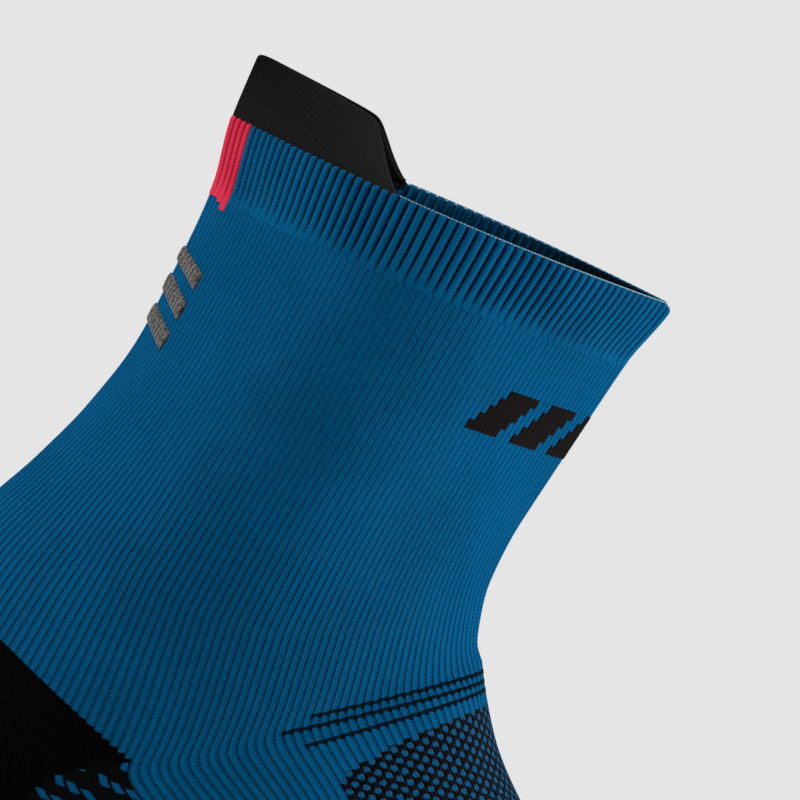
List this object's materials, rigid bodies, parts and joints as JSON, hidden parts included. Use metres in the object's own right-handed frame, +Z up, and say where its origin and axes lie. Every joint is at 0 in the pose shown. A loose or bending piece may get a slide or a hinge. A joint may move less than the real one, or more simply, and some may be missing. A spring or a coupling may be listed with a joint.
{
  "type": "sock",
  "caption": "Mid-height knitted trail running sock with a ribbed cuff, a heel tab, a mesh instep, a cushioned heel, sole and toe, and an ankle and a toe that flex.",
  "frame": {"origin": "on the ground under the middle of the sock's length and width", "axes": "+X to the toes, +Y to the wearer's left, +Z up"},
  "size_m": [0.255, 0.091, 0.1583],
  "materials": {
    "knit_blue": "fine matt polyamide and elastane jersey",
    "knit_black": "fine matt polyamide jersey",
    "knit_red": "ribbed polyamide",
    "melange_grey": "raised melange rib",
    "thread_pale": "casting-off thread",
    "mesh_black_blue": "tuck-stitch mesh, black ground with blue loops",
    "terry_black": "looped pile"
  },
  "bodies": {
    "foot": {"ankle_tube": "knit_blue", "instep_gusset": "knit_blue", "flex_lines": "knit_black", "heel_pocket": "knit_black", "heel_terry": "terry_black", "instep_panel": "mesh_black_blue", "foot_top": "knit_blue", "side_panel_left": "knit_black", "side_panel_right": "knit_black", "arch_band": "knit_blue", "sole_panel": "knit_black", "sole_terry": "terry_black", "forefoot_top": "knit_blue", "forefoot_sole": "knit_black", "forefoot_terry": "terry_black"},
    "leg": {"rim_thread": "thread_pale", "cuff_rib": "knit_blue", "back_stripe": "knit_red", "heel_tab": "knit_black", "heel_tab_lining": "knit_black", "leg_tube": "knit_blue", "front_motif": "knit_black", "achilles_relief": "melange_grey"},
    "toe": {"toe_pocket": "knit_black", "toe_terry": "terry_black", "toe_seam": "knit_black"}
  },
  "joints": [
    {"name": "ankle_flex", "type": "hinge", "parent": "foot", "child": "leg", "pos_m": [-0.0775, 0, 0.076], "axis": [0, 1, 0], "range_deg": [-20, 15], "stiffness_Nm_per_rad": 0.12, "deforming": ["ankle_tube"]},
    {"name": "toe_flex", "type": "hinge", "parent": "foot", "child": "toe", "pos_m": [0.0525, 0, 0.008], "axis": [0, -1, 0], "range_deg": [0, 25], "stiffness_Nm_per_rad": 0.04, "deforming": ["forefoot_top", "forefoot_sole", "forefoot_terry"]}
  ]
}
